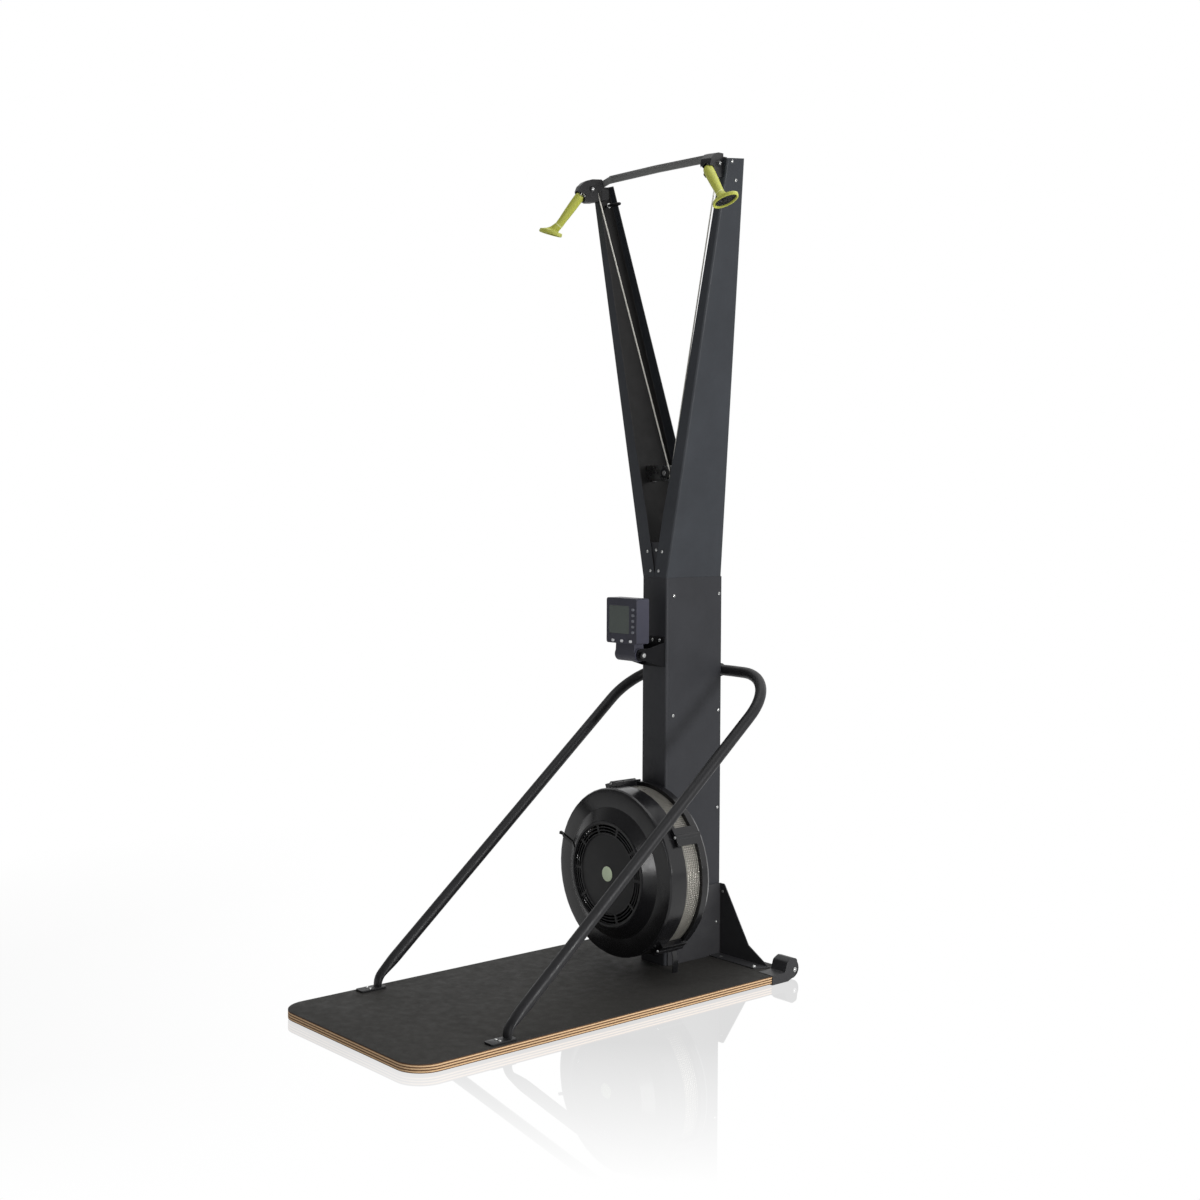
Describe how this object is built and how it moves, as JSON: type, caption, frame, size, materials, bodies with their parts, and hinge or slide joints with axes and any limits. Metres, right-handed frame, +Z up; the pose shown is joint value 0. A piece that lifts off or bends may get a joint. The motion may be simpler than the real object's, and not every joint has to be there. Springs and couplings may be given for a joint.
{
  "type": "ski trainer machine",
  "caption": "Upright cord-pull ski trainer: two spread arms with sprung handles, a caged air flywheel low on the column, a tilting monitor and a standing deck with rear casters.",
  "frame": {"origin": "bottom centre of the whole machine, on the floor", "axes": "+X to the machine side that carries the monitor key column, +Y to the back, +Z up"},
  "size_m": [0.7752, 1.243, 2.166],
  "materials": {
    "deck_laminate": "matte charcoal",
    "rubber": "matte",
    "column_paint": "charcoal",
    "arm_paint": "charcoal",
    "black_steel": "satin black",
    "bright_steel": "zinc plated",
    "black_plastic": "matte black",
    "shell_plastic": "near black",
    "band_steel": "perforated sheet",
    "handle_plastic": "lime",
    "cord_braid": "off white",
    "badge_plastic": "pale green",
    "screen_glass": "grey green",
    "button_plastic": "pale grey"
  },
  "bodies": {
    "frame": {"platform": "deck_laminate", "platform_strip_front": "rubber", "platform_strip_rear": "rubber", "return_cord": "rubber", "column_frame": "column_paint", "column_back": "column_paint", "column_cover_right": "column_paint", "column_cover_left": "column_paint", "arm_right": "arm_paint", "arm_left": "arm_paint", "base_bracket_right": "black_steel", "base_bracket_left": "black_steel", "brace_right": "black_steel", "brace_left": "black_steel", "brace_clamp": "black_steel", "crossbar": "black_steel", "monitor_bracket": "black_steel", "top_pulley_axle_right": "bright_steel", "top_pulley_axle_left": "bright_steel", "throat_bracket": "bright_steel", "bearing_block": "bright_steel", "caster_bracket_right": "black_plastic", "caster_bracket_left": "black_plastic", "pulley_housing_right": "black_plastic", "pulley_housing_left": "black_plastic", "housing_front": "shell_plastic", "housing_rear": "shell_plastic", "inlet_grille": "shell_plastic", "outlet_band": "band_steel", "drive_cord_right": "cord_braid", "drive_cord_left": "cord_braid", "pull_cord_right": "cord_braid", "pull_cord_left": "cord_braid", "badge": "badge_plastic"},
    "flywheel": {"flywheel": "black_plastic", "flywheel_shaft": "bright_steel"},
    "damper": {"damper_lever": "black_plastic"},
    "monitor": {"monitor_case": "shell_plastic", "monitor_screen": "screen_glass"},
    "handle_right": {"handle_right": "handle_plastic", "handle_insert_right": "black_plastic"},
    "top_pulley_right": {"top_pulley_right": "bright_steel"},
    "throat_pulley_right": {"throat_pulley_right": "black_plastic"},
    "cord_drum_right": {"cord_drum_right": "black_plastic"},
    "caster_wheel_right": {"caster_wheel_right": "rubber"},
    "handle_left": {"handle_left": "handle_plastic", "handle_insert_left": "black_plastic"},
    "top_pulley_left": {"top_pulley_left": "bright_steel"},
    "throat_pulley_left": {"throat_pulley_left": "black_plastic"},
    "cord_drum_left": {"cord_drum_left": "black_plastic"},
    "caster_wheel_left": {"caster_wheel_left": "rubber"},
    "button_1": {"monitor_button_1": "button_plastic"},
    "button_2": {"monitor_button_2": "button_plastic"},
    "button_3": {"monitor_button_3": "button_plastic"},
    "button_4": {"monitor_button_4": "button_plastic"},
    "button_5": {"monitor_button_5": "button_plastic"},
    "button_6": {"monitor_button_6": "button_plastic"},
    "button_7": {"monitor_button_7": "button_plastic"},
    "button_8": {"monitor_button_8": "button_plastic"}
  },
  "joints": [
    {"name": "flywheel_spin", "type": "hinge", "parent": "frame", "child": "flywheel", "pos_m": [0, 0.2955, 0.29], "axis": [0, 1, 0], "continuous": true},
    {"name": "handle_pull_right", "type": "slide", "parent": "frame", "child": "handle_right", "axis": [0.1202, -0.3004, -0.9462], "range_m": [0, 1.15], "stiffness_N_per_m": 18, "springref_m": -0.55, "deforming": ["pull_cord_right"]},
    {"name": "top_pulley_spin_right", "type": "hinge", "parent": "frame", "child": "top_pulley_right", "pos_m": [0.243, 0.3285, 2.13], "axis": [0.9659, 0.2588, 0], "range_deg": [0, 3000]},
    {"name": "throat_pulley_spin_right", "type": "hinge", "parent": "frame", "child": "throat_pulley_right", "pos_m": [0.017, 0.4125, 1.35], "axis": [0, 1, 0], "range_deg": [0, 4710]},
    {"name": "drum_spin_right", "type": "hinge", "parent": "frame", "child": "cord_drum_right", "pos_m": [0, 0.4055, 0.29], "axis": [0, -1, 0], "range_deg": [0, 2640]},
    {"name": "handle_pull_left", "type": "slide", "parent": "frame", "child": "handle_left", "axis": [-0.1202, -0.3004, -0.9462], "range_m": [0, 1.15], "stiffness_N_per_m": 18, "springref_m": -0.55, "deforming": ["pull_cord_left"]},
    {"name": "top_pulley_spin_left", "type": "hinge", "parent": "frame", "child": "top_pulley_left", "pos_m": [-0.243, 0.3285, 2.13], "axis": [0.9659, -0.2588, 0], "range_deg": [0, 3000]},
    {"name": "throat_pulley_spin_left", "type": "hinge", "parent": "frame", "child": "throat_pulley_left", "pos_m": [-0.017, 0.4125, 1.35], "axis": [0, -1, 0], "range_deg": [0, 4710]},
    {"name": "drum_spin_left", "type": "hinge", "parent": "frame", "child": "cord_drum_left", "pos_m": [0, 0.4055, 0.29], "axis": [0, -1, 0], "range_deg": [0, 2640]},
    {"name": "damper_turn", "type": "hinge", "parent": "frame", "child": "damper", "pos_m": [0, 0.2055, 0.29], "axis": [0, -1, 0], "range_deg": [0, 22]},
    {"name": "monitor_tilt", "type": "hinge", "parent": "frame", "child": "monitor", "pos_m": [0, 0.2685, 0.868], "axis": [1, 0, 0], "range_deg": [-20, 20]},
    {"name": "button_press_1", "type": "slide", "parent": "monitor", "child": "button_1", "axis": [0, 1, 0], "range_m": [0, 0.0012], "stiffness_N_per_m": 300},
    {"name": "button_press_2", "type": "slide", "parent": "monitor", "child": "button_2", "axis": [0, 1, 0], "range_m": [0, 0.0012], "stiffness_N_per_m": 300},
    {"name": "button_press_3", "type": "slide", "parent": "monitor", "child": "button_3", "axis": [0, 1, 0], "range_m": [0, 0.0012], "stiffness_N_per_m": 300},
    {"name": "button_press_4", "type": "slide", "parent": "monitor", "child": "button_4", "axis": [0, 1, 0], "range_m": [0, 0.0012], "stiffness_N_per_m": 300},
    {"name": "button_press_5", "type": "slide", "parent": "monitor", "child": "button_5", "axis": [0, 1, 0], "range_m": [0, 0.0012], "stiffness_N_per_m": 300},
    {"name": "button_press_6", "type": "slide", "parent": "monitor", "child": "button_6", "axis": [0, 1, 0], "range_m": [0, 0.0012], "stiffness_N_per_m": 300},
    {"name": "button_press_7", "type": "slide", "parent": "monitor", "child": "button_7", "axis": [0, 1, 0], "range_m": [0, 0.0012], "stiffness_N_per_m": 300},
    {"name": "button_press_8", "type": "slide", "parent": "monitor", "child": "button_8", "axis": [0, 1, 0], "range_m": [0, 0.0012], "stiffness_N_per_m": 300},
    {"name": "caster_roll_right", "type": "hinge", "parent": "frame", "child": "caster_wheel_right", "pos_m": [0.2744, 0.5955, 0.028], "axis": [1, 0, 0], "continuous": true},
    {"name": "caster_roll_left", "type": "hinge", "parent": "frame", "child": "caster_wheel_left", "pos_m": [-0.2744, 0.5955, 0.028], "axis": [1, 0, 0], "continuous": true}
  ],
  "couplings": [
    {"joint": "top_pulley_spin_right", "follows": "handle_pull_right", "rad_per_m": 45.455},
    {"joint": "throat_pulley_spin_right", "follows": "handle_pull_right", "rad_per_m": 71.429},
    {"joint": "drum_spin_right", "follows": "handle_pull_right", "rad_per_m": 40},
    {"joint": "top_pulley_spin_left", "follows": "handle_pull_left", "rad_per_m": 45.455},
    {"joint": "throat_pulley_spin_left", "follows": "handle_pull_left", "rad_per_m": 71.429},
    {"joint": "drum_spin_left", "follows": "handle_pull_left", "rad_per_m": 40}
  ]
}
